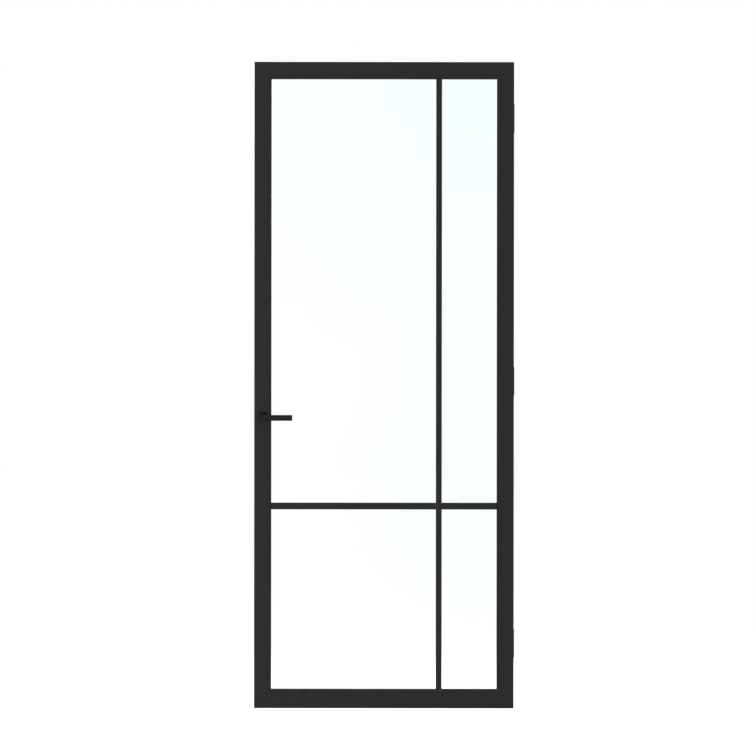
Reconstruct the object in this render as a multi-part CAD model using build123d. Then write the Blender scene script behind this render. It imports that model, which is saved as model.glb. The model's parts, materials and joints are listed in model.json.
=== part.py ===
from build123d import *
import math
import os

# Slim metal-framed glass door: a single hinged leaf with its own stiles and rails,
# one pane of toughened glass, applied glazing bars, a lever set with a flush magnetic
# latch, and three surface hinges on the hidden side.
# Millimetres. X runs along the width towards the hinges, Y towards the hidden side,
# Z up. The origin is the middle of the leaf's underside, halfway through its thickness.

# Leaf
leaf_width = 930.0
leaf_height = 2315.0
leaf_thickness = 40.0
stile_face = 49.0
top_face = 49.0
bottom_face = 57.0
bead_sight = 12.0
profile_wall = 2.0
profile_edge_radius = 1.0

# Glazing
glass_thickness = 8.0
glass_edge_gap = 4.0
glass_arris = 0.8
gasket_thickness = 4.0
gasket_width = 6.0
gasket_setback = 0.5
gasket_lip = 1.6
gasket_lip_draft = 0.4
gasket_relief = 1.0
bead_wall = 1.5
bead_flat = 7.0
bead_gap = 0.3
clip_groove_width = 3.0
clip_groove_depth = 3.0
clip_groove_from_face = 6.0
gasket_groove_width = 3.0
gasket_groove_depth = 2.5
block_length = 100.0

# Glazing bars
upright_bar_width = 21.0
cross_bar_width = 24.0
bar_depth = 9.0
bar_wall = 1.2
bar_tape = 1.0
bar_tape_margin = 1.0
bar_edge_radius = 0.8
narrow_pane = 197.0
lower_pane = 643.0
bar_end_gap = 0.3

# Lock
spindle_height = 1044.0
forend_width = 22.0
forend_height = 170.0
forend_thickness = 3.0
forend_above_spindle = 5.0
forend_corner = 2.0
forend_screw_inset = 7.0
forend_screw_length = 12.0
bracket_height = 12.0
bracket_depth = 8.0
bracket_wall = 3.0
case_play = 2.0
case_thickness = 15.0
case_wall = 1.5
case_behind_spindle = 15.0
case_below_spindle = 55.0
case_above_spindle = 65.0
case_post_radius = 3.0
case_post_inset = 7.0
cover_screw_radius = 1.5
cover_screw_head = 2.7
cover_screw_head_height = 1.4
latch_rise = 34.0
latch_height = 22.0
latch_thickness = 11.2
latch_travel = 11.7
latch_guide = 16.3
latch_tail = 10.0
latch_nose = 0.8
latch_side_room = 2.0
lug_drop = 0.25
follower_radius = 11.0
journal_radius = 8.0
arm_length = 19.5
arm_root = 3.0
arm_tip = 2.5
arm_side_room = 2.0
lower_arm_length = 17.0
lever_throw = 36.0
spindle_side = 8.0
spindle_reach = 26.0
latch_spring_radius = 2.2
latch_spring_wire = 0.35
return_spring_radius = 3.2
return_spring_wire = 0.5
return_spring_behind_forend = 5.0
spring_turns = 6
spring_setback = 1.0
spring_stop_half = 3.0
spring_stop_thickness = 2.0

# Lever set
lever_overhang = 11.0
lever_reach = 105.0
lever_height = 20.0
lever_drop = 4.5
lever_thickness = 10.0
lever_projection = 58.0
lever_edge_radius = 1.2
lever_corner = 0.8
neck_radius = 8.0
neck_flare = 0.8
grub_above_rose = 8.0
grub_key = 1.3
grub_key_depth = 2.5
rose_side = 30.0
rose_depth = 8.0
rose_wall = 1.2
rose_corner = 2.5
rose_edge_radius = 0.8
rose_base_gap = 1.2
rose_base_corner = 1.0
bush_wall = 1.5
rose_screw_offset = 9.8
rose_screw_radius = 1.75
rose_screw_head = 2.9
rose_screw_length = 11.0
rose_screw_key = 1.1

# Hinges
hinge_height = 100.0
hinge_plate_width = 36.0
hinge_plate_thickness = 3.0
hinge_plate_corner = 4.0
hinge_barrel_radius = 6.2
hinge_pin_radius = 3.45
hinge_pin_head = 5.4
hinge_pin_head_height = 2.5
hinge_pin_head_taper = 1.2
hinge_knuckles = 5
hinge_washer = 2.0
hinge_washer_setback = 0.2
hinge_edge_gap = 2.5
hinge_screw_spacing_across = 12.0
hinge_screw_spacing_up = 70.0
hinge_screw_hole = 2.75
hinge_screw_head = 4.8
hinge_screw_length = 11.0
top_hinge_drop = 200.0
bottom_hinge_rise = 230.0

# Fixings inside the frame
screw_radius = 2.5
corner_screw_radius = 3.0
corner_screw_length = 36.0
corner_screw_head = 5.0
corner_screw_head_height = 5.0
cleat_length = 42.0
cap_depth = 6.0
plug_depth = 5.0
backer_thickness = 5.0
backer_play = 3.0
backer_height = 90.0
screw_key = 1.6

# Clearances
running_clearance = 0.05
hole_clearance = 0.1
fit_clearance = 0.3
loose_clearance = 0.5
beyond = 1.0

# Worked out from the sizes above
half_width = leaf_width / 2
half_thick = leaf_thickness / 2
half_glass = glass_thickness / 2
leg_front = half_glass + gasket_thickness
rebate_half = half_width - stile_face
rebate_bottom = bottom_face
rebate_top = leaf_height - top_face
rebate_mid = (rebate_bottom + rebate_top) / 2
sight_half = rebate_half - bead_sight
sight_bottom = rebate_bottom + bead_sight
sight_top = rebate_top - bead_sight
chamber_front = -half_thick + clip_groove_from_face + clip_groove_width + profile_wall + fit_clearance
corner_screw_y = (chamber_front + leg_front - fit_clearance) / 2
case_front = -half_width + forend_thickness
case_back = -half_width + stile_face - profile_wall - case_play
spindle_x = case_back - case_behind_spindle
grub_out = rose_depth + grub_above_rose
case_bottom = spindle_height - case_below_spindle
case_top = spindle_height + case_above_spindle
case_half = case_thickness / 2
cavity_half = case_half - case_wall
forend_mid = spindle_height + forend_above_spindle
latch_mid = spindle_height + latch_rise
latch_length = latch_travel + latch_guide
hinge_axis_offset = hinge_barrel_radius + fit_clearance
hinge_x = half_width + hinge_edge_gap - hinge_axis_offset
hinge_y = half_thick + hinge_axis_offset
hinge_bore = hinge_pin_radius + running_clearance
hinge_heights = {
    "bottom": bottom_hinge_rise,
    "middle": (bottom_hinge_rise + leaf_height - top_hinge_drop) / 2,
    "top": leaf_height - top_hinge_drop,
}


def block(low, high):
    """A rectangular solid between two corners."""
    size = [b - a for a, b in zip(low, high)]
    return Pos(*low) * Box(*size, align=(Align.MIN, Align.MIN, Align.MIN))


def outline(points):
    """A flat face inside a closed run of straight lines."""
    return make_face(Polyline(*points, close=True))


def rod(radius, start, end):
    """A round bar between two points."""
    axis = Vector(*end) - Vector(*start)
    plane = Plane(origin=start, z_dir=axis)
    return extrude(plane * Circle(radius), amount=axis.length)


def door_face(x, z):
    """Plane on the leaf's front face: local x along the leaf, local y up, local z out of the door."""
    return Plane(origin=(x, -half_thick, z), x_dir=(1, 0, 0), z_dir=(0, -1, 0))


def middle_plane(x, z):
    """The same plane, halfway through the leaf."""
    return Plane(origin=(x, 0, z), x_dir=(1, 0, 0), z_dir=(0, -1, 0))


def countersunk_screw(radius, head_radius, length, socket):
    """Screw with a flush cone head at z 0 and its shank down -Z, with a hexagon socket."""
    cone = head_radius - radius
    section = outline([(0, 0), (head_radius, 0), (radius, -cone), (radius, -length), (0, -length)])
    screw = revolve(Plane.XZ * section, axis=Axis.Z)
    key = extrude(RegularPolygon(socket, 6), amount=-cone)
    return screw - key


def countersink(radius, head_radius, depth):
    """Cut for a countersunk screw through a plate of a given depth, its wide end up."""
    tight = radius + hole_clearance
    wide = head_radius + hole_clearance
    section = outline([(0, 0), (tight, 0), (tight, depth - wide + tight), (wide, depth), (0, depth)])
    return revolve(Plane.XZ * section, axis=Axis.Z)


def write(name, part):
    """One STEP file per node."""
    export_step(part, f"parts/{name}.step")
    return part


# Frame profiles


def frame_section(face):
    """Tube with a rebate for the glass: local x inwards from the outer edge, local y through the leaf."""
    tip = face + bead_sight
    inner_wall = face - profile_wall
    groove_low = -half_thick + clip_groove_from_face
    groove_high = groove_low + clip_groove_width
    groove_floor = face - clip_groove_depth
    outer = outline(
        [
            (0, -half_thick),
            (face, -half_thick),
            (face, leg_front),
            (tip, leg_front),
            (tip, half_thick),
            (0, half_thick),
        ]
    )
    rebate_corner = (face, leg_front, 0)
    outer = fillet(outer.vertices().sort_by_distance(rebate_corner)[1:], profile_edge_radius)
    chamber = outline(
        [
            (profile_wall, -half_thick + profile_wall),
            (inner_wall, -half_thick + profile_wall),
            (inner_wall, groove_low - profile_wall),
            (groove_floor - profile_wall, groove_low - profile_wall),
            (groove_floor - profile_wall, groove_high + profile_wall),
            (inner_wall, groove_high + profile_wall),
            (inner_wall, half_thick - profile_wall),
            (profile_wall, half_thick - profile_wall),
        ]
    )
    leg_chamber = outline(
        [
            (face, leg_front + gasket_groove_depth + profile_wall),
            (tip - profile_wall, leg_front + gasket_groove_depth + profile_wall),
            (tip - profile_wall, half_thick - profile_wall),
            (face, half_thick - profile_wall),
        ]
    )
    clip_groove = Pos(groove_floor, groove_low) * Rectangle(
        clip_groove_depth, clip_groove_width, align=(Align.MIN, Align.MIN)
    )
    gasket_groove = Pos(face + bead_sight / 2, leg_front) * Rectangle(
        gasket_groove_width, gasket_groove_depth, align=(Align.CENTER, Align.MIN)
    )
    return outer - chamber - leg_chamber - clip_groove - gasket_groove


def corner_screw_places():
    """Height and depth of each corner screw: two in the middle of every rail end."""
    places = []
    for middle in (leaf_height - top_face / 2, bottom_face / 2):
        for side in (-1, 1):
            places.append((middle + side * top_face / 5, corner_screw_y))
    return places


def stile():
    """Full-height stile on the lock side, before any lock or hinge machining."""
    body = Pos(-half_width, 0, 0) * extrude(frame_section(stile_face), amount=leaf_height)
    inner = -half_width + stile_face
    for z, y in corner_screw_places():
        access = corner_screw_head + fit_clearance
        body -= rod(access, (-half_width - beyond, y, z), (-half_width + profile_wall + beyond, y, z))
        hole = corner_screw_radius + fit_clearance
        body -= rod(hole, (inner - profile_wall - beyond, y, z), (inner + beyond, y, z))
    return body


def lock_stile():
    """Stile with the forend slot, the spindle holes and the rose screw holes."""
    body = stile()
    slot_half = forend_height / 2 + fit_clearance
    slot_side = forend_width / 2 + fit_clearance
    body -= block(
        (-half_width - beyond, -slot_side, forend_mid - slot_half),
        (-half_width + profile_wall + loose_clearance, slot_side, forend_mid + slot_half),
    )
    reach = half_thick + beyond
    hole = journal_radius + beyond
    body -= rod(hole, (spindle_x, -reach, spindle_height), (spindle_x, reach, spindle_height))
    for side in (-1, 1):
        x = spindle_x + side * rose_screw_offset
        z = spindle_height + side * rose_screw_offset
        body -= rod(rose_screw_radius + hole_clearance, (x, -reach, z), (x, reach, z))
    return body


def hinge_screw_places():
    """Every leaf-side hinge screw: its x, and its height."""
    middle = hinge_x - screw_from_axis()
    places = []
    for height in hinge_heights.values():
        for across in (-0.5, 0.5):
            for up in (-0.5, 0.5):
                x = middle + across * hinge_screw_spacing_across
                places.append((x, height + up * hinge_screw_spacing_up))
    return places


def hinge_stile():
    """Stile on the hinge side, drilled through its back wall for the hinge screws."""
    body = mirror(stile(), about=Plane.YZ)
    for x, z in hinge_screw_places():
        hole = screw_radius + hole_clearance
        body -= rod(hole, (x, half_thick - profile_wall - beyond, z), (x, half_thick + beyond, z))
    return body


def rail(face, at_top):
    """Rail cut square between the stiles, with its ends coped round the stiles' glazing legs."""
    length = 2 * rebate_half
    if at_top:
        plane = Plane(origin=(-rebate_half, 0, leaf_height), x_dir=(0, 0, -1), z_dir=(1, 0, 0))
    else:
        plane = Plane(origin=(rebate_half, 0, 0), x_dir=(0, 0, 1), z_dir=(-1, 0, 0))
    body = plane.location * extrude(frame_section(face), amount=length)
    for side in (-1, 1):
        low = min(side * sight_half, side * (rebate_half + beyond))
        high = (low + bead_sight + beyond, half_thick + beyond, leaf_height + beyond)
        body -= block((low, leg_front, -beyond), high)
    return body


def stile_caps():
    """Plastic plugs that close the stiles' open ends, flush."""
    gap = profile_wall + fit_clearance
    face = outline(
        [
            (gap, chamber_front),
            (stile_face - gap, chamber_front),
            (stile_face - gap, half_thick - gap),
            (gap, half_thick - gap),
        ]
    )
    skirt = offset(face, amount=-profile_wall, kind=Kind.INTERSECTION)
    plug = extrude(face, amount=cap_depth) - Pos(0, 0, profile_wall) * extrude(skirt, amount=cap_depth)
    bottom = Pos(-half_width, 0, 0) * plug
    top = mirror(bottom, about=Plane(origin=(0, 0, leaf_height / 2), z_dir=(0, 0, 1)))
    lock_side = [bottom, top]
    return lock_side + [mirror(p, about=Plane.YZ) for p in lock_side]


def corner_cleat(face, middle, side):
    """Channel in a rail's end, solid round its two screws and coped like the rail."""
    gap = profile_wall + fit_clearance
    deep = half_thick - gap - chamber_front
    tall = face - 2 * gap
    solid = Pos(0, chamber_front) * Rectangle(tall, deep, align=(Align.CENTER, Align.MIN))
    pocket = Pos(0, chamber_front + 2 * profile_wall) * Rectangle(
        tall - 4 * profile_wall, deep, align=(Align.CENTER, Align.MIN)
    )
    plane = Plane(origin=(side * rebate_half, 0, middle), x_dir=(0, 0, side), z_dir=(-side, 0, 0))
    body = plane.location * extrude(solid, amount=cleat_length / 2)
    body += plane.location * extrude(solid - pocket, amount=cleat_length)
    cope = bead_sight + fit_clearance
    start = min(side * rebate_half, side * (rebate_half - cope))
    return body - block((start, leg_front - fit_clearance, 0), (start + cope, half_thick, leaf_height))


# Glazing


def sides():
    """The four sides of the glazing rebate, each with the plane its section stands on and its length."""
    half = rebate_half
    low = rebate_bottom
    high = rebate_top
    return {
        "lock_side": (Plane((-half, 0, low), x_dir=(1, 0, 0), z_dir=(0, 0, 1)), high - low),
        "hinge_side": (Plane((half, 0, high), x_dir=(-1, 0, 0), z_dir=(0, 0, -1)), high - low),
        "bottom": (Plane((half, 0, low), x_dir=(0, 0, 1), z_dir=(-1, 0, 0)), 2 * half),
        "top": (Plane((-half, 0, high), x_dir=(0, 0, -1), z_dir=(1, 0, 0)), 2 * half),
    }


def mitred(section, length):
    """A straight length up +Z with both ends cut at 45 degrees, longest at local x 0."""
    body = extrude(section, amount=length)
    body = split(body, bisect_by=Plane((0, 0, 0), z_dir=(-1, 0, 1)), keep=Keep.TOP)
    return split(body, bisect_by=Plane((0, 0, length), z_dir=(-1, 0, -1)), keep=Keep.TOP)


def bead_section():
    """Snap-in bead: a folded skin with a bevelled sight edge, a seat for the gasket and a clip foot."""
    front = -half_thick + bead_gap
    seat = -leg_front
    bevel = bead_sight - bead_flat
    clip_low = -half_thick + clip_groove_from_face + fit_clearance
    clip_high = clip_low + clip_groove_width - 2 * fit_clearance
    inner_flat = bead_flat - bead_wall * math.tan(math.radians(22.5))
    inner_bevel = front + bevel + bead_wall * math.tan(math.radians(22.5))
    return outline(
        [
            (bead_gap, front),
            (bead_flat, front),
            (bead_sight, front + bevel),
            (bead_sight, seat),
            (bead_sight - gasket_width - 1, seat),
            (bead_sight - gasket_width - 1, seat - bead_wall),
            (bead_sight - bead_wall, seat - bead_wall),
            (bead_sight - bead_wall, inner_bevel),
            (inner_flat, front + bead_wall),
            (bead_gap + bead_wall, front + bead_wall),
            (bead_gap + bead_wall, clip_high),
            (fit_clearance - clip_groove_depth, clip_high),
            (fit_clearance - clip_groove_depth, clip_high - bead_wall),
            (bead_gap, clip_low),
        ]
    )


def bead(name):
    """One glazing bead, kept off its neighbours' clip grooves by its square end stops."""
    plane, length = sides()[name]
    body = mitred(bead_section(), length)
    wide = leaf_thickness
    stop = block((-wide, -wide, bead_gap), (wide, wide, length - bead_gap))
    return plane.location * (body & stop)


def ring(section):
    """A continuous seal: four mitred lengths joined at the corners."""
    parts = [plane.location * mitred(section, length) for plane, length in sides().values()]
    body = parts[0]
    for part in parts[1:]:
        body += part
    return body


def front_gasket():
    """Seal between the bead's seat and the glass, on two lips with a relief between them."""
    high = bead_sight - gasket_setback
    low = high - gasket_width
    lip = gasket_lip_draft + gasket_lip
    root = lip + gasket_lip_draft
    relief = -half_glass - gasket_relief
    section = outline(
        [
            (low, -leg_front),
            (high, -leg_front),
            (high - gasket_lip_draft, -half_glass),
            (high - lip, -half_glass),
            (high - root, relief),
            (low + root, relief),
            (low + lip, -half_glass),
            (low + gasket_lip_draft, -half_glass),
        ]
    )
    return ring(section)


def back_gasket():
    """Seal between the glass and the glazing leg, its tails in the legs' grooves."""
    middle = bead_sight / 2
    tail = gasket_groove_width - 2 * fit_clearance
    standing = (Align.CENTER, Align.MIN)
    pad = Pos(middle, half_glass) * Rectangle(gasket_width, gasket_thickness, align=standing)
    rib = Pos(middle, leg_front) * Rectangle(tail, gasket_groove_depth - fit_clearance, align=standing)
    seal = ring(pad)
    for plane, length in sides().values():
        seal += plane.location * (Pos(0, 0, bead_sight) * extrude(rib, amount=length - 2 * bead_sight))
    return seal


def glass_pane():
    """One toughened pane with ground arrises."""
    width = 2 * (rebate_half - glass_edge_gap)
    height = rebate_top - rebate_bottom - 2 * glass_edge_gap
    pane = Pos(0, 0, rebate_mid) * Box(width, glass_thickness, height)
    faces = pane.faces().filter_by(Axis.Y)
    return chamfer(faces.edges(), glass_arris)


def setting_blocks():
    """Packers between the pane's edges and the rebate floor, two on each side."""
    blocks = []
    for plane, length in sides().values():
        for place in (block_length, length - block_length):
            across = (Align.MIN, Align.CENTER, Align.CENTER)
            packer = Box(glass_edge_gap, glass_thickness, block_length, align=across)
            blocks.append(plane.location * (Pos(0, 0, place) * packer))
    return blocks


# Glazing bars


def bar_section(width):
    """Flat tube stuck to the glass: local x across the bar, local y out from the glass."""
    tube = Pos(0, bar_tape) * Rectangle(width, bar_depth, align=(Align.CENTER, Align.MIN))
    tube = fillet(tube.vertices().sort_by(Axis.Y)[2:], bar_edge_radius)
    hollow = Pos(0, bar_tape + bar_wall) * Rectangle(
        width - 2 * bar_wall, bar_depth - 2 * bar_wall, align=(Align.CENTER, Align.MIN)
    )
    return tube - hollow


def tape_section(width):
    """Glazing tape, a little narrower than its bar."""
    return Rectangle(width - 2 * bar_tape_margin, bar_tape, align=(Align.CENTER, Align.MIN))


def bar_run(section, start, end):
    """A section run along the front of the glass between two points of the door's elevation."""
    origin = Vector(start[0], -half_glass, start[1])
    run = Vector(end[0] - start[0], 0, end[1] - start[1])
    across = Vector(0, -1, 0).cross(run.normalized())
    plane = Plane(origin=origin, x_dir=across, z_dir=run.normalized())
    return plane.location * extrude(section, amount=run.length)


def bar_runs():
    """Width and two ends of each bar: the upright goes through and the cross bars butt against it."""
    upright_x = sight_half - narrow_pane - upright_bar_width / 2
    cross_z = sight_bottom + lower_pane + cross_bar_width / 2
    edge = upright_bar_width / 2 + bar_end_gap
    end = sight_half - bar_end_gap
    foot = (upright_x, sight_bottom + bar_end_gap)
    head = (upright_x, sight_top - bar_end_gap)
    return {
        "upright_bar": (upright_bar_width, foot, head),
        "cross_bar_wide": (cross_bar_width, (-end, cross_z), (upright_x - edge, cross_z)),
        "cross_bar_narrow": (cross_bar_width, (upright_x + edge, cross_z), (end, cross_z)),
    }


# Lock


def forend():
    """Face plate, flush with the stile's edge, with the latch opening and two countersunk holes."""
    plane = Plane(origin=(case_front, 0, forend_mid), x_dir=(0, -1, 0), z_dir=(-1, 0, 0))
    plate = extrude(RectangleRounded(forend_width, forend_height, forend_corner), amount=forend_thickness)
    gap = fit_clearance
    slot = Pos(0, latch_mid - forend_mid) * Rectangle(latch_thickness + 2 * gap, latch_height + 2 * gap)
    plate -= extrude(slot, amount=forend_thickness)
    for side in (-1, 1):
        cut = countersink(screw_radius, hinge_screw_head, forend_thickness)
        plate -= Pos(0, side * (forend_height / 2 - forend_screw_inset), 0) * cut
    return plane.location * plate


def forend_brackets():
    """Saddles across the stile's chamber that the forend is screwed to."""
    saddles = []
    reach = half_thick - profile_wall
    back = case_front + bracket_depth
    half = bracket_height / 2
    for side in (-1, 1):
        z = forend_mid + side * (forend_height / 2 - forend_screw_inset)
        saddle = block((case_front, -reach, z - half), (back, reach, z + half))
        saddle -= block(
            (case_front + bracket_wall, -reach + bracket_wall, z - half),
            (back, reach - bracket_wall, z + half),
        )
        saddles.append(saddle - rod(screw_radius + hole_clearance, (case_front, 0, z), (back, 0, z)))
    return saddles


def forend_screws():
    """Two countersunk screws through the forend into its brackets."""
    screws = []
    for side in (-1, 1):
        z = forend_mid + side * (forend_height / 2 - forend_screw_inset)
        plane = Plane(origin=(-half_width, 0, z), z_dir=(-1, 0, 0))
        screw = countersunk_screw(screw_radius, hinge_screw_head, forend_screw_length, screw_key)
        screws.append(plane.location * screw)
    return screws


def case_posts():
    """Where the case's four cover screws stand, clear of the mechanism."""
    across = (case_front + case_post_inset, case_back - case_post_inset)
    up = (case_bottom + case_post_inset, case_top - case_post_inset)
    return [(x, z) for x in across for z in up]


def spring_stops():
    """Tabs inside the case that the latch spring and the return spring push against."""
    latch_x = -half_width + latch_length / 2 + spring_stop_half
    latch_z = latch_mid + latch_height / 2 + spring_stop_half + loose_clearance
    return_z = spindle_height - lower_arm_length - arm_tip
    return {
        "latch": (latch_x, latch_z),
        "return": (case_front + return_spring_behind_forend, return_z),
    }


def lock_case():
    """Tray with its mouth to the forend, journal bore, screw posts and spring stops."""
    tray = block((case_front, -cavity_half, case_bottom), (case_back, case_half, case_top))
    tray -= block(
        (case_front - beyond, -case_half, case_bottom + case_wall),
        (case_back - case_wall, cavity_half, case_top - case_wall),
    )
    bore = cover_screw_radius + hole_clearance
    for x, z in case_posts():
        tray += rod(case_post_radius, (x, -cavity_half, z), (x, cavity_half, z))
        tray -= rod(bore, (x, -case_half, z), (x, cavity_half - cover_screw_radius, z))
    half = spring_stop_half
    for x, z in spring_stops().values():
        low = (x - spring_stop_thickness, -cavity_half + loose_clearance, z - half)
        tray += block(low, (x, cavity_half, z + half))
    start = (spindle_x, cavity_half - beyond, spindle_height)
    end = (spindle_x, case_half + beyond, spindle_height)
    return tray - rod(journal_radius + running_clearance, start, end)


def lock_cover():
    """Flat side of the case, with the second journal bore and the screw holes."""
    plate = block((case_front, -case_half, case_bottom), (case_back, -cavity_half, case_top))
    front = -case_half - beyond
    back = -cavity_half + beyond
    bore = journal_radius + running_clearance
    plate -= rod(bore, (spindle_x, front, spindle_height), (spindle_x, back, spindle_height))
    for x, z in case_posts():
        plate -= rod(cover_screw_radius + hole_clearance, (x, front, z), (x, back, z))
    return plate


def cover_screws():
    """Four pan-head screws that hold the cover on its posts."""
    screws = []
    for x, z in case_posts():
        screw = rod(cover_screw_radius, (x, -case_half, z), (x, cavity_half - 2 * cover_screw_radius, z))
        top = -case_half - cover_screw_head_height
        screws.append(screw + rod(cover_screw_head, (x, top, z), (x, -case_half, z)))
    return screws


def latch_bolt():
    """Magnet-drawn latch: a head that rests flush in the forend, a tail, and an end plate."""
    head = block(
        (-half_width, -latch_thickness / 2, latch_mid - latch_height / 2),
        (-half_width + latch_length, latch_thickness / 2, latch_mid + latch_height / 2),
    )
    nose = head.faces().sort_by(Axis.X)[0]
    head = chamfer(nose.edges(), latch_nose)
    thick = cavity_half - latch_side_room
    tail = block(
        (-half_width + latch_length, -thick, latch_mid - latch_tail / 2),
        (plate_x(), thick, latch_mid + latch_tail / 2),
    )
    plate_low = spindle_height + arm_length * math.cos(math.radians(lever_throw / 2)) - lug_drop
    plate_high = spring_stops()["latch"][1] + spring_stop_half
    plate_back = case_back - case_wall - fit_clearance
    plate = block((plate_x(), -thick, plate_low), (plate_back, thick, plate_high))
    return head + tail + plate


def plate_x():
    """Near side of the latch's end plate: just beyond the arm's tip with the lever right down."""
    reach = arm_length * math.sin(math.radians(lever_throw / 2)) + arm_tip
    return spindle_x + reach + fit_clearance


def arm(length, angle):
    """Tapered arm from the follower, turned clockwise from upright."""
    tip = Pos(0, length) * Circle(arm_tip)
    return Rot(0, 0, -angle) * make_hull(Circle(arm_root).edges() + tip.edges())


def follower():
    """Hub with a square hole and two journals, an arm for the latch and an arm for the return spring."""
    plane = middle_plane(spindle_x, spindle_height)
    rest = -lever_throw / 2
    half = cavity_half - fit_clearance
    hub = extrude(Circle(follower_radius), amount=half, both=True)
    hub += extrude(Circle(journal_radius), amount=case_half, both=True)
    hub += extrude(arm(arm_length, rest), amount=half - arm_side_room, both=True)
    hub += extrude(arm(lower_arm_length, rest + 180), amount=half - arm_side_room, both=True)
    hole = spindle_side + 2 * running_clearance
    hub -= extrude(Rectangle(hole, hole), amount=case_thickness, both=True)
    return plane.location * hub


def coil(radius, wire, start, length):
    """Compression spring along +X from a point, with its wire's outside inside the given length."""
    height = length - 2 * wire
    helix = Helix(pitch=height / spring_turns, height=height, radius=radius)
    section = Plane(origin=helix @ 0, z_dir=helix % 0) * Circle(wire)
    body = sweep(section, path=helix)
    plane = Plane(origin=(start[0] + wire, start[1], start[2]), z_dir=(1, 0, 0))
    return plane.location * body


def latch_spring():
    """Light spring that draws the latch back flush when nothing attracts it."""
    x, z = spring_stops()["latch"]
    gap = fit_clearance / 2
    return coil(latch_spring_radius, latch_spring_wire, (x + gap, 0, z), plate_x() - x - 2 * gap)


def return_spring():
    """Spring that lifts the lever back to level."""
    x, z = spring_stops()["return"]
    tip = spindle_x + lower_arm_length * math.sin(math.radians(lever_throw / 2)) - arm_tip
    gap = fit_clearance / 2
    return coil(return_spring_radius, return_spring_wire, (x + gap, 0, z), tip - x - gap - spring_setback)


def spindle():
    """Square bar through the follower into both levers."""
    length = leaf_thickness + 2 * spindle_reach
    return Pos(spindle_x, 0, spindle_height) * Box(spindle_side, length, spindle_side)


# Lever set


def front_lever():
    """Flat straight lever, set low on a round neck that is bored square for the spindle."""
    plane = door_face(spindle_x, spindle_height)
    top = lever_projection - lever_thickness
    face = RectangleRounded(lever_reach + lever_overhang, lever_height, lever_corner)
    middle = (lever_reach - lever_overhang) / 2
    grip = Pos(middle, -lever_drop, top) * extrude(face, amount=lever_thickness)
    outer = grip.faces().sort_by(Axis.Z)[-1]
    grip = fillet(outer.edges(), lever_edge_radius)
    neck = outline(
        [
            (0, fit_clearance),
            (neck_radius, fit_clearance),
            (neck_radius, top - neck_flare),
            (neck_radius + neck_flare, top),
            (0, top),
        ]
    )
    body = grip + revolve(Plane.XZ * neck, axis=Axis.Z)
    hole = spindle_side + 2 * running_clearance
    body -= extrude(Rectangle(hole, hole), amount=spindle_reach + fit_clearance)
    hole = screw_radius + running_clearance
    body -= rod(hole, (0, -neck_radius - beyond, grub_out), (0, -spindle_side / 2, grub_out))
    return plane.location * body


def lever_grub_screws():
    """A grub screw under each neck, tight on the spindle."""
    z = spindle_height
    y = -half_thick - grub_out
    low = z - neck_radius + fit_clearance
    grub = rod(screw_radius, (spindle_x, y, low), (spindle_x, y, z - spindle_side / 2))
    key = Plane(origin=(spindle_x, y, low), z_dir=(0, 0, 1)) * RegularPolygon(grub_key, 6)
    grub -= extrude(key, amount=grub_key_depth)
    return [grub, mirror(grub, about=Plane.XZ)]


def rose_cover():
    """Snap-on cover of the rose: a thin box open to the door, with a hole for the neck."""
    plane = door_face(spindle_x, spindle_height)
    shell = extrude(RectangleRounded(rose_side, rose_side, rose_corner), amount=rose_depth)
    shell = fillet(shell.faces().sort_by(Axis.Z)[-1].edges(), rose_edge_radius)
    opening = rose_side - 2 * rose_wall
    inner = RectangleRounded(opening, opening, rose_corner - rose_wall)
    shell -= extrude(inner, amount=rose_depth - rose_wall)
    shell -= extrude(Circle(neck_radius + fit_clearance), amount=rose_depth)
    return plane.location * shell


def rose_base():
    """Rose body screwed to the stile, with the seat of the neck's bush and two countersunk holes."""
    plane = door_face(spindle_x, spindle_height)
    gap = rose_wall + fit_clearance
    depth = rose_depth - gap - rose_base_gap
    face = RectangleRounded(rose_side - 2 * gap, rose_side - 2 * gap, rose_base_corner)
    base = extrude(face, amount=depth)
    base -= extrude(Circle(neck_radius + 2 * running_clearance + bush_wall), amount=depth)
    for side in (-1, 1):
        cut = countersink(rose_screw_radius, rose_screw_head, depth)
        base -= Pos(side * rose_screw_offset, side * rose_screw_offset, 0) * cut
    return plane.location * base


def neck_bush():
    """Nylon ring that the lever's neck turns in."""
    plane = door_face(spindle_x, spindle_height)
    inner = neck_radius + running_clearance
    length = rose_depth - rose_wall - fit_clearance
    return plane.location * extrude(Circle(inner + bush_wall) - Circle(inner), amount=length)


def rose_screws():
    """Countersunk screws of both roses, into the stile's face walls."""
    screws = []
    depth = rose_depth - rose_wall - fit_clearance - rose_base_gap
    for side in (-1, 1):
        plane = door_face(spindle_x + side * rose_screw_offset, spindle_height + side * rose_screw_offset)
        screw = countersunk_screw(rose_screw_radius, rose_screw_head, rose_screw_length, rose_screw_key)
        screw = plane.location * (Pos(0, 0, depth) * screw)
        screws += [screw, mirror(screw, about=Plane.XZ)]
    return screws


# Hinges


def knuckle_spans():
    """Low and high end of every knuckle, from the hinge's middle."""
    gap = hinge_washer + fit_clearance
    length = (hinge_height - (hinge_knuckles - 1) * gap) / hinge_knuckles
    spans = []
    for i in range(hinge_knuckles):
        low = -hinge_height / 2 + i * (length + gap)
        spans.append((low, low + length))
    return spans


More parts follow.
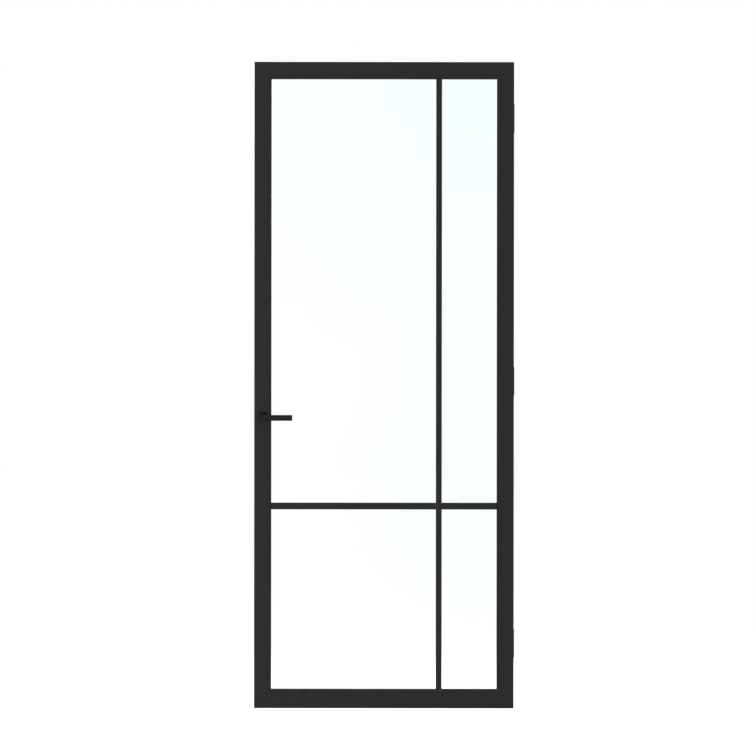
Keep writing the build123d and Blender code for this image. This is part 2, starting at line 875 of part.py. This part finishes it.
def hinge_plate(first_knuckle):
    """Plate with rolled knuckles round Z: the plate runs along +X, its mounting face towards -Y."""
    outer = -hinge_axis_offset
    plate = block(
        (0, outer, -hinge_height / 2),
        (hinge_plate_width, outer + hinge_plate_thickness, hinge_height / 2),
    )
    far = plate.edges().filter_by(Axis.Y).group_by(Axis.X)[-1]
    plate = fillet(far, hinge_plate_corner)
    own = knuckle_spans()[first_knuckle::2]
    edge = hinge_height / 2 + beyond
    cuts = [-edge] + [z for span in own for z in span] + [edge]
    for low, high in zip(cuts[0::2], cuts[1::2]):
        if high - low > 2 * beyond:
            plate -= rod(hinge_barrel_radius + loose_clearance, (0, 0, low), (0, 0, high))
    for low, high in own:
        plate += rod(hinge_barrel_radius, (0, 0, low), (0, 0, high))
    plate -= Cylinder(hinge_bore, 2 * edge)
    cut = countersink(hinge_screw_hole - hole_clearance, hinge_screw_head, hinge_plate_thickness)
    for across in (-0.5, 0.5):
        for up in (-0.5, 0.5):
            x = screw_from_axis() + across * hinge_screw_spacing_across
            z = up * hinge_screw_spacing_up
            plate -= Plane(origin=(x, outer, z), z_dir=(0, 1, 0)).location * cut
    return plate


def screw_from_axis():
    """Distance from the pin to the middle of the plate's screw pattern."""
    return hinge_plate_width / 2 + hinge_screw_spacing_across / 4


def leaf_hinge_plate(height):
    """Leaf half: flat on the back of the hinge stile."""
    plate = mirror(hinge_plate(1), about=Plane.YZ)
    return Pos(hinge_x, hinge_y, height) * plate


def frame_hinge_plate(height):
    """Fixed half: flat on the reveal beside the leaf, square to the leaf when the door is shut."""
    plate = Rot(0, 0, 90) * hinge_plate(0)
    return Pos(hinge_x, hinge_y, height) * plate


def hinge_pin(height):
    """Pin with a button at each end."""
    reach = hinge_height / 2 + fit_clearance
    end = reach + hinge_pin_head_height
    taper = hinge_pin_head_taper
    upper = [
        (hinge_pin_radius, reach),
        (hinge_pin_head, reach),
        (hinge_pin_head, end - taper),
        (hinge_pin_head - taper, end),
        (0, end),
    ]
    profile = outline(upper + [(r, -z) for r, z in reversed(upper)])
    return Pos(hinge_x, hinge_y, height) * revolve(Plane.XZ * profile, axis=Axis.Z)


def hinge_washers():
    """Bearing rings in the gaps between the knuckles."""
    rings = []
    spans = knuckle_spans()
    shape = Circle(hinge_barrel_radius - hinge_washer_setback) - Circle(hinge_bore)
    for height in hinge_heights.values():
        for (_, low), (high, _) in zip(spans[:-1], spans[1:]):
            z = height + (low + high - hinge_washer) / 2
            rings.append(Pos(hinge_x, hinge_y, z) * extrude(shape, amount=hinge_washer))
    return rings


def hinge_screws():
    """Countersunk screws of the three leaf plates."""
    screws = []
    top = half_thick + hinge_plate_thickness - hole_clearance
    head = hinge_screw_head - 2 * hole_clearance
    screw = countersunk_screw(screw_radius, head, hinge_screw_length, screw_key)
    for x, z in hinge_screw_places():
        screws.append(Plane(origin=(x, top, z), z_dir=(0, 1, 0)).location * screw)
    return screws


def hinge_backers():
    """Tapped strips inside the hinge stile that the hinge screws pull against."""
    strips = []
    inside = half_thick - profile_wall
    near = half_width - stile_face + profile_wall + backer_play
    far = half_width - profile_wall - backer_play
    for height in hinge_heights.values():
        low = (near, inside - backer_thickness, height - backer_height / 2)
        strips.append(block(low, (far, inside, height + backer_height / 2)))
    for x, z in hinge_screw_places():
        hole = rod(screw_radius + hole_clearance, (x, 0, z), (x, half_thick, z))
        strips = [strip - hole for strip in strips]
    return strips


# Frame fixings


def corner_screws():
    """Cap screws through the stiles' inner walls into the corner cleats."""
    screws = []
    inner = -half_width + stile_face
    for z, y in corner_screw_places():
        head = inner - profile_wall
        screw = rod(corner_screw_radius, (head, y, z), (head + corner_screw_length, y, z))
        screw += rod(corner_screw_head, (head - corner_screw_head_height, y, z), (head, y, z))
        screws += [screw, mirror(screw, about=Plane.YZ)]
    return screws


def edge_plugs():
    """Caps in the access holes of the corner screws, flush with the leaf's edges."""
    plugs = []
    for z, y in corner_screw_places():
        inside = -half_width + profile_wall
        rim = corner_screw_head + fit_clearance - hole_clearance
        plug = rod(rim, (-half_width, y, z), (inside, y, z))
        plug += rod(corner_screw_radius, (inside, y, z), (-half_width + plug_depth, y, z))
        plugs += [plug, mirror(plug, about=Plane.YZ)]
    return plugs


def drilled_cleats():
    """The four cleats, with tapping holes for their screws."""
    cleats = {}
    ends = {"top": (top_face, leaf_height - top_face / 2), "bottom": (bottom_face, bottom_face / 2)}
    for end, (face, middle) in ends.items():
        for hand, side in (("lock", -1), ("hinge", 1)):
            body = corner_cleat(face, middle, side)
            for z, y in corner_screw_places():
                hole = corner_screw_radius + running_clearance
                start = side * (rebate_half + beyond)
                body -= rod(hole, (start, y, z), (start - side * cleat_length, y, z))
            cleats[f"corner_cleat_{end}_{hand}"] = body
    return cleats


def build():
    """Makes every piece and writes it as its own node."""
    nodes = {
        "lock_stile": lock_stile(),
        "hinge_stile": hinge_stile(),
        "top_rail": rail(top_face, True),
        "bottom_rail": rail(bottom_face, False),
        "stile_caps": Compound(children=stile_caps()),
        "corner_screws": Compound(children=corner_screws()),
        "edge_plugs": Compound(children=edge_plugs()),
        "glass_pane": glass_pane(),
        "front_gasket": front_gasket(),
        "back_gasket": back_gasket(),
        "setting_blocks": Compound(children=setting_blocks()),
        "forend": forend(),
        "forend_brackets": Compound(children=forend_brackets()),
        "forend_screws": Compound(children=forend_screws()),
        "lock_case": lock_case(),
        "lock_cover": lock_cover(),
        "cover_screws": Compound(children=cover_screws()),
        "latch_bolt": latch_bolt(),
        "latch_spring": latch_spring(),
        "follower": follower(),
        "return_spring": return_spring(),
        "spindle": spindle(),
        "lever_grub_screws": Compound(children=lever_grub_screws()),
        "rose_screws": Compound(children=rose_screws()),
        "hinge_washers": Compound(children=hinge_washers()),
        "hinge_screws": Compound(children=hinge_screws()),
        "hinge_backers": Compound(children=hinge_backers()),
    }
    nodes.update(drilled_cleats())
    for name in sides():
        nodes[f"bead_{name}"] = bead(name)
    tapes = []
    for name, (width, start, end) in bar_runs().items():
        run = bar_run(bar_section(width), start, end)
        nodes[f"front_{name}"] = run
        nodes[f"back_{name}"] = mirror(run, about=Plane.XZ)
        tapes.append(bar_run(tape_section(width), start, end))
    nodes["front_bar_tape"] = Compound(children=tapes)
    nodes["back_bar_tape"] = Compound(children=[mirror(t, about=Plane.XZ) for t in tapes])
    for name, piece in (
        ("lever", front_lever()),
        ("rose_cover", rose_cover()),
        ("rose_base", rose_base()),
        ("neck_bush", neck_bush()),
    ):
        nodes[f"front_{name}"] = piece
        nodes[f"back_{name}"] = mirror(piece, about=Plane.XZ)
    for place, height in hinge_heights.items():
        nodes[f"hinge_leaf_plate_{place}"] = leaf_hinge_plate(height)
        nodes[f"hinge_frame_plate_{place}"] = frame_hinge_plate(height)
        nodes[f"hinge_pin_{place}"] = hinge_pin(height)
    os.makedirs("parts", exist_ok=True)
    for name, part in nodes.items():
        write(name, part)
    print(len(nodes), "nodes")


build()
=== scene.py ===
# %% [markdown]
# A slim glass door
#
# This lesson finishes a glass door leaf that arrives as exact parts: black stiles and
# rails, beads, bars, one pane of glass, a lever with its latch, and three hinges. The
# shapes are already right, so the work here is finish and light, apart from two springs
# that ought to shorten, which here only get copies that stand for them. Everything is in
# metres. X runs along the leaf to the hinges, Y through it to the hidden side, Z up.

# %% Load the parts
import json
import math

import bpy
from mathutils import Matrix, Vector


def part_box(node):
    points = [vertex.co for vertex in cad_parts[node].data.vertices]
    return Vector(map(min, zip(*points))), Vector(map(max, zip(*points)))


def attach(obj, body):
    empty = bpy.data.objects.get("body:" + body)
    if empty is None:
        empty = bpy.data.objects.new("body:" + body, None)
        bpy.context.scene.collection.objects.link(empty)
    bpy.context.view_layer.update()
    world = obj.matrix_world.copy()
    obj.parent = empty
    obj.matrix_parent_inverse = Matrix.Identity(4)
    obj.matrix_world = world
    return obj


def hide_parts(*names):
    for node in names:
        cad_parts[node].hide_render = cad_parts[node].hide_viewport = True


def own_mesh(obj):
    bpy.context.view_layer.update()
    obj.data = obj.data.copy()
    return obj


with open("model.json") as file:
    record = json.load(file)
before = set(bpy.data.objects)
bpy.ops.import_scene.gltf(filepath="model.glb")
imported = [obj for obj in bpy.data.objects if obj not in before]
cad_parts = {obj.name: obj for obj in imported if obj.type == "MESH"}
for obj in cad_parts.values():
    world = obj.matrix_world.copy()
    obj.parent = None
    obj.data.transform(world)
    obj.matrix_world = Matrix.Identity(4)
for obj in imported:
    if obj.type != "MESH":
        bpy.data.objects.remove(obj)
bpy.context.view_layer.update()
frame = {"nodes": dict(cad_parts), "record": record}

stile_low, stile_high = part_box("lock_stile")
hinge_low, hinge_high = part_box("hinge_stile")
leaf_width = hinge_high.x - stile_low.x
leaf_height = stile_high.z - stile_low.z
leaf_front = stile_low.y
print("leaf, metres:", round(leaf_width, 4), "by", round(leaf_height, 4))


# %% [markdown]
# Sums on sockets
#
# A finish is a small sum, such as a bit of noise, scaled, added to a roughness. Node by
# node that is long to read, so one class wraps a socket and answers to plus and times
# with a Math node. A node group would do the same, but a sum reads as one line.

# %% A socket that can be used in sums
class Wire:
    """One output socket of a finish, with the operators that a finish needs."""

    def __init__(self, finish, socket):
        self.finish = finish
        self.socket = socket

    def math(self, operation, first, second):
        return self.finish.node("ShaderNodeMath", {"operation": operation}, {0: first, 1: second})

    def __add__(self, other):
        return self.math("ADD", self, other)

    def __radd__(self, other):
        return self.math("ADD", other, self)

    def __mul__(self, other):
        return self.math("MULTIPLY", self, other)

    def __rmul__(self, other):
        return self.math("MULTIPLY", other, self)


# %% [markdown]
# One way to add a node
#
# Every other node comes from one method. It sets the node's own settings first, because
# some of them change which sockets the node has, and then fills the sockets, each with a
# plain value or with a wire from another node. Patterns start from the Object output of
# Texture Coordinate, which is the place on the door in metres, so grain has a real size.

# %% A finish and its nodes
class Finish:
    """The nodes of a new material or of the world."""

    def __init__(self, holder):
        holder.use_nodes = True
        self.holder = holder
        self.tree = holder.node_tree
        self.tree.nodes.clear()

    def node(self, kind, settings=None, values=None, output=0):
        """Adds a node and returns the wire of one of its outputs."""
        made = self.tree.nodes.new(kind)
        for setting, value in (settings or {}).items():
            setattr(made, setting, value)
        for name, value in (values or {}).items():
            if isinstance(value, Wire):
                self.tree.links.new(value.socket, made.inputs[name])
            else:
                made.inputs[name].default_value = value
        return Wire(self, made.outputs[output]) if made.outputs else None

    def noise(self, size, detail=2.0, stretch=(1.0, 1.0, 1.0)):
        """Soft noise from 0 to 1, its lumps about one size across, in metres."""
        place = self.node("ShaderNodeTexCoord", output="Object")
        longer = self.node("ShaderNodeMapping", {}, {"Vector": place, "Scale": stretch})
        return self.node("ShaderNodeTexNoise", {}, {"Vector": longer, "Scale": 1 / size, "Detail": detail})

    def near(self, point, reach):
        """1 at a point of the door, fading evenly to 0 at a given distance from it."""
        place = self.node("ShaderNodeTexCoord", output="Object")
        ends = {0: place, 1: point}
        away = self.node("ShaderNodeVectorMath", {"operation": "DISTANCE"}, ends, output="Value")
        return self.node("ShaderNodeMapRange", {}, {"Value": away, "From Min": reach, "From Max": 0.0})

    def tint(self, share, low, high):
        """One colour turning into another. A colour Mix node's ends are its inputs 6 and 7."""
        ends = {"Factor": share, 6: (*low, 1), 7: (*high, 1)}
        return self.node("ShaderNodeMix", {"data_type": "RGBA"}, ends, output=2)

    def relief(self, height, depth, under=None):
        """Bumps of a given depth in metres, on top of other bumps if there are any."""
        values = {"Height": height, "Distance": depth}
        if under:
            values["Normal"] = under
        return self.node("ShaderNodeBump", {}, values)

    def skin(self, values):
        """The Principled shader, which every solid surface here uses."""
        return self.node("ShaderNodeBsdfPrincipled", {}, values)

    def end(self, shader, kind="ShaderNodeOutputMaterial"):
        """Joins the finished shader to the output."""
        self.node(kind, {}, {"Surface": shader})
        return self.holder


def material(name):
    """A new material with an empty tree."""
    return Finish(bpy.data.materials.new(name))


# %% [markdown]
# Black powder coat
#
# The stiles, rails, beads and bars are aluminium with a baked powder finish. Close up it
# is a fine even orange peel, a few tenths of a millimetre across, over a slower wave
# from the way the powder flowed. It could be one flat black with a rough gloss, but then
# it would look like plastic. Two sizes of noise give the peel, a third lets the gloss
# drift along a stile, and the colour only moves by a few parts in a hundred.

# %% Powder coat finish
def powder_coat():
    coat = material("black_powder_coat")
    peel = coat.noise(0.0007, detail=3)
    flow = coat.noise(0.006)
    drift = coat.noise(0.35)
    skin = coat.skin({
        "Base Color": coat.tint(drift, (0.0105, 0.0106, 0.0108), (0.0125, 0.0126, 0.0128)),
        "Roughness": 0.46 + 0.08 * drift + 0.05 * peel,
        "Specular IOR Level": 0.15,
        "Normal": coat.relief(peel, 0.00003, coat.relief(flow, 0.00004)),
    })
    return coat.end(skin)


# %% [markdown]
# Satin black fittings
#
# The levers, hinges and pins are plated zinc and steel. They are smoother than the
# powder coat and a little darker, with a soft gloss that hands have polished unevenly.
# Stretching the noise along the lever gives the faint lines left by the finishing belt.
# The roses behind the levers are the same stuff, made darker still as painted shade for
# the shadow that the lever grip casts on them, so one function makes both and is told how
# black to be.

# %% Satin black finish
def satin_black(name, dark, light, gloss):
    satin = material(name)
    belt = satin.noise(0.0006, detail=3, stretch=(0.06, 1, 1))
    touch = satin.noise(0.03)
    skin = satin.skin({
        "Base Color": satin.tint(touch, dark, light),
        "Roughness": 0.3 + 0.1 * touch + 0.08 * belt,
        "Specular IOR Level": gloss,
        "Normal": satin.relief(belt, 0.000008),
    })
    return satin.end(skin)


# %% [markdown]
# Clear glass
#
# Toughened glass eight millimetres thick is nearly colourless from the front. Its colour
# here also holds a painted reflection: a breath of cyan, as of a bluish sky seen in the
# pane, strongest towards the top hinge and gone by the lock side. Two soft patches paint
# that reflection, and a slow wave breaks up their edges. Real refraction would put the
# whole door in shadow, because light through it can't reach a lamp directly, so shadow
# rays go through a plain Transparent shader instead.

# %% Glass finish
# The two soft patches below are painted reflection: a cyan tint in the glass's colour that stands for a
# bluish sky reflected in it.
top_reflection_reach = 1.3
low_reflection_reach = 0.75
low_reflection_height = 0.33 * leaf_height
no_tint = (1.0, 1.0, 1.0)
cyan_painted_reflection = (0.9, 0.998, 1.0)


def clear_glass():
    glass = material("clear_glass")
    # Painted reflection: cyan patches near the top hinge corner and lower on the hinge side, worked into
    # the glass's colour.
    top_reflection_patch = glass.near((hinge_high.x, 0.0, hinge_high.z), top_reflection_reach)
    low_reflection_patch = glass.near((hinge_high.x, 0.0, low_reflection_height), low_reflection_reach)
    wave = glass.noise(0.3)
    painted_reflection_share = (top_reflection_patch + 0.7 * low_reflection_patch) * (0.8 + 0.4 * wave)
    body = glass.skin({
        "Base Color": glass.tint(painted_reflection_share, no_tint, cyan_painted_reflection),
        "Roughness": 0.0,
        "IOR": 1.5,
        "Transmission Weight": 1.0,
    })
    lets_through = glass.node("ShaderNodeBsdfTransparent", {}, {"Color": (0.96, 0.98, 0.98, 1)})
    shadow = glass.node("ShaderNodeLightPath", output="Is Shadow Ray")
    both = glass.node("ShaderNodeMixShader", {}, {"Fac": shadow, 1: body, 2: lets_through})
    return glass.end(both)


# %% [markdown]
# Rubber, plastic and nylon
#
# The seals are black rubber with a dull bloom, the caps, plugs and packers are moulded
# black plastic with a fine spark texture, and the bushes that the lever turns in are
# natural nylon. One function makes all three, because they differ only in numbers.

# %% Moulded finishes
def moulded(name, dark, light, roughness, grain, depth):
    made = material(name)
    spark = made.noise(grain, detail=3)
    bloom = made.noise(0.02)
    skin = made.skin({
        "Base Color": made.tint(bloom, dark, light),
        "Roughness": roughness + 0.12 * bloom,
        "Specular IOR Level": 0.3,
        "Normal": made.relief(spark, depth),
    })
    return made.end(skin)


# %% [markdown]
# Brushed steel and mill aluminium
#
# The face plate in the door's edge is brushed along its length, and the screws and the
# lock are bright zinc-plated steel. Brushing is noise squeezed across and drawn out along
# the brush, and it goes into both the roughness and the bumps, so that a highlight
# breaks up into lines. The cleats in the corners are bare aluminium, drawn along X.

# %% Metal finishes
def brushed(name, dark, light, roughness, stretch, depth):
    made = material(name)
    lines = made.noise(0.0005, detail=4, stretch=stretch)
    cloud = made.noise(0.015)
    skin = made.skin({
        "Base Color": made.tint(cloud, dark, light),
        "Metallic": 1.0,
        "Roughness": roughness + 0.18 * lines + 0.06 * cloud,
        "Normal": made.relief(lines, depth),
    })
    return made.end(skin)


# %% [markdown]
# Dressing the parts
#
# The door's record names a material slot for each part, so the finishes are made once,
# one for each slot, and every part takes the finish of its slot. The two rose covers
# then get their own, darker black, which is painted shade for the shadow between the
# lever grip and the rose.

# %% Give every part its finish
along_z = (1.0, 1.0, 0.02)
along_x = (0.02, 1.0, 1.0)


def grey(level, warmth=0.0):
    """A near-neutral colour, a little warmer than grey or, below zero, a little cooler."""
    return (level * (1 + warmth), level, level * (1 - warmth))


finishes = {
    "black_coat": powder_coat(),
    "black_fittings": satin_black("satin_black", grey(0.0055, -0.02), grey(0.0080, -0.02), 0.1),
    "clear_glass": clear_glass(),
    "seal_rubber": moulded("seal_rubber", grey(0.008), grey(0.014), 0.6, 0.0006, 0.00002),
    "black_plastic": moulded("black_plastic", grey(0.010), grey(0.014), 0.45, 0.0008, 0.00003),
    "pale_nylon": moulded("pale_nylon", grey(0.60, 0.06), grey(0.68, 0.05), 0.4, 0.001, 0.00001),
    "steel": brushed("brushed_steel", grey(0.40), grey(0.52), 0.26, along_z, 0.00001),
    "cleat_aluminium": brushed("mill_aluminium", grey(0.61), grey(0.71), 0.32, along_x, 0.00001),
}
# The roses' darker black is painted shade: it stands for the shadow that the lever grip casts on the rose.
rose_painted_shade = satin_black("rose_painted_shade", grey(0.0045), grey(0.0065), 0.05)


def dress(node, finish):
    """Puts one finish on all of a part."""
    for slot in frame["nodes"][node].material_slots:
        slot.material = finish


for part in frame["record"]["subparts"]:
    dress(part["node"], finishes[part["material_slot"]])
for rose in ("front_rose_cover", "back_rose_cover"):
    dress(rose, rose_painted_shade)


# %% [markdown]
# Springs that have to shorten
#
# Two coil springs work inside the lock. One draws the latch back flush and the other
# lifts the lever, and each is squeezed at the end of its joint's travel. An exact part
# stays rigid, so the follower and the latch would cut through it there. A shape key
# would need a driver. Instead each spring gets a copy that stands for it, merged,
# smoothed and fixed to the leaf, and the part itself is hidden. Nothing here shortens
# the copy: the squash along X that it would need is only worked out as a ratio, and
# the squeezed length is printed. The latch's travel is in the door's record. The arm's
# follows from its length and the lever's turn.

# %% The two lock springs
return_arm = 0.017
merge_reach = 0.000001
crease = math.radians(40)
joints = {joint["name"]: joint for joint in frame["record"]["behaviour"]["joints"]}
latch_travel = joints["latch_slide"]["range_m"][1]
lever_throw = math.radians(joints["lever_turn"]["range_deg"][1])
arm_travel = 2 * return_arm * math.sin(lever_throw / 2)


def coil_that_shortens(node, travel):
    """A merged, smoothed copy of a lock spring that stands for it on the leaf; nothing makes it give way,
    and the travel only shows in the print.
    """
    spring_low, spring_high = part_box(node)
    free_length = spring_high.x - spring_low.x
    coil = bpy.data.objects.new(node + "_coil", frame["nodes"][node].data.copy())
    bpy.context.collection.objects.link(coil)
    bpy.ops.object.select_all(action="DESELECT")
    coil.select_set(True)
    bpy.context.view_layer.objects.active = coil
    bpy.ops.object.mode_set(mode="EDIT")
    bpy.ops.mesh.select_all(action="SELECT")
    bpy.ops.mesh.remove_doubles(threshold=merge_reach)
    bpy.ops.object.mode_set(mode="OBJECT")
    bpy.ops.object.shade_smooth_by_angle(angle=crease)
    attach(coil, "leaf")
    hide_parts(node)
    1 - travel / free_length
    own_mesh(coil)
    print(node, "free, mm:", round(free_length * 1000, 1),
          "squeezed:", round((free_length - travel) * 1000, 1))


coil_that_shortens("latch_spring", latch_travel)
coil_that_shortens("return_spring", arm_travel)


# %% [markdown]
# The floor and what is behind
#
# The door hangs a little above a plain floor. The floor and the world are white where the
# camera sees them, directly, in a reflection or through the glass, by asking the Light
# Path node what kind of ray is looking. The white is a glow that only those rays see, so
# no extra light falls on the door, and the floor still shows the door's soft shadow. The
# glow is only just strong enough for white, or it would wash the tint out of the glass.

# %% Floor and world
floor_gap = 0.010
floor_reach = 60.0
floor_facets = 96
floor_grey = 0.84
world_level = 0.62
floor_glow = 0.44
white = (1, 1, 1, 1)


def seen(finish):
    """1 for a ray that shows the background to the camera, and 0 for one that lights the door."""
    rays = ("Is Camera Ray", "Is Glossy Ray", "Is Transmission Ray")
    camera_ray, glossy, through = [finish.node("ShaderNodeLightPath", output=ray) for ray in rays]
    either = camera_ray.math("MAXIMUM", camera_ray, glossy)
    return either.math("MAXIMUM", either, through)


bpy.ops.object.select_all(action="DESELECT")
bpy.ops.mesh.primitive_circle_add(vertices=floor_facets, radius=floor_reach, fill_type="NGON",
                                  location=(0, 0, stile_low.z - floor_gap))
floor = bpy.context.object
floor.name = "floor"
paving = material("pale_floor")
dull = paving.skin({"Base Color": (*grey(floor_grey), 1), "Roughness": 0.9})
glow = paving.node("ShaderNodeEmission", {}, {"Color": white, "Strength": floor_glow * seen(paving)})
floor.data.materials.append(paving.end(paving.node("ShaderNodeAddShader", {}, {0: dull, 1: glow})))

air = Finish(bpy.data.worlds.new("studio"))
strength = world_level + (1 - world_level) * seen(air)
sky = air.node("ShaderNodeBackground", {}, {"Color": white, "Strength": strength})
bpy.context.scene.world = air.end(sky, "ShaderNodeOutputWorld")


# %% [markdown]
# Soft light
#
# One wide lamp stands in front and to the left, a little below the middle of the door's
# height, which makes up for what the top gets from the next one. That one lies high above
# the leaf and nearly in its plane: the flat faces hardly get any of it, but it picks out
# every edge that looks up. One behind keeps the back from going flat. The size of a lamp
# sets how soft it is.

# %% Lamps
def lamp(name, place, towards, size, power):
    """A square area lamp pointed at a spot."""
    bpy.ops.object.light_add(type="AREA", location=place)
    made = bpy.context.object
    made.name = name
    made.data.size = size
    made.data.energy = power
    made.rotation_euler = (Vector(towards) - Vector(place)).to_track_quat("-Z", "Y").to_euler()


middle = Vector((0, leaf_front, leaf_height / 2))
lamp("key", (-2.6, -5.2, 0.9), middle, 3.0, 122)
lamp("above", (0.0, -0.18, 4.4), middle, 1.4, 62)
lamp("behind", (1.8, 3.6, 2.6), middle, 2.0, 60)


# %% [markdown]
# The camera
#
# The photograph is square on and level, and shows no side of anything, so the camera
# stands far away with a long lens. Its distance is chosen, and the lens follows from the
# door's width in the picture. The door is a little right of the picture's middle and a
# little below it, so the camera stands that far to the left and higher. The picture also
# leans by a hair, less than a tenth of a degree, and the camera is tipped to match.

# %% Camera
picture = 756
door_left = 254.25
door_right = 513.9
door_middle_down = 385.1
lean = math.radians(-0.06)
distance = 24.0
sensor_width = 36.0
sight_limit = 200.0
metres_per_pixel = leaf_width / (door_right - door_left)
camera_x = (picture / 2 - (door_left + door_right) / 2) * metres_per_pixel
camera_z = leaf_height / 2 + (door_middle_down - picture / 2) * metres_per_pixel
camera_place = (camera_x, leaf_front - distance, camera_z)
bpy.ops.object.camera_add(location=camera_place, rotation=(math.pi / 2, lean, 0))
camera = bpy.context.object
camera.data.sensor_width = sensor_width
camera.data.lens = sensor_width * distance / (picture * metres_per_pixel)
camera.data.clip_end = sight_limit
bpy.context.scene.camera = camera
bpy.context.scene.view_settings.view_transform = "Standard"
print("lens, mm:", round(camera.data.lens, 1), "camera at", [round(c, 3) for c in camera.location])
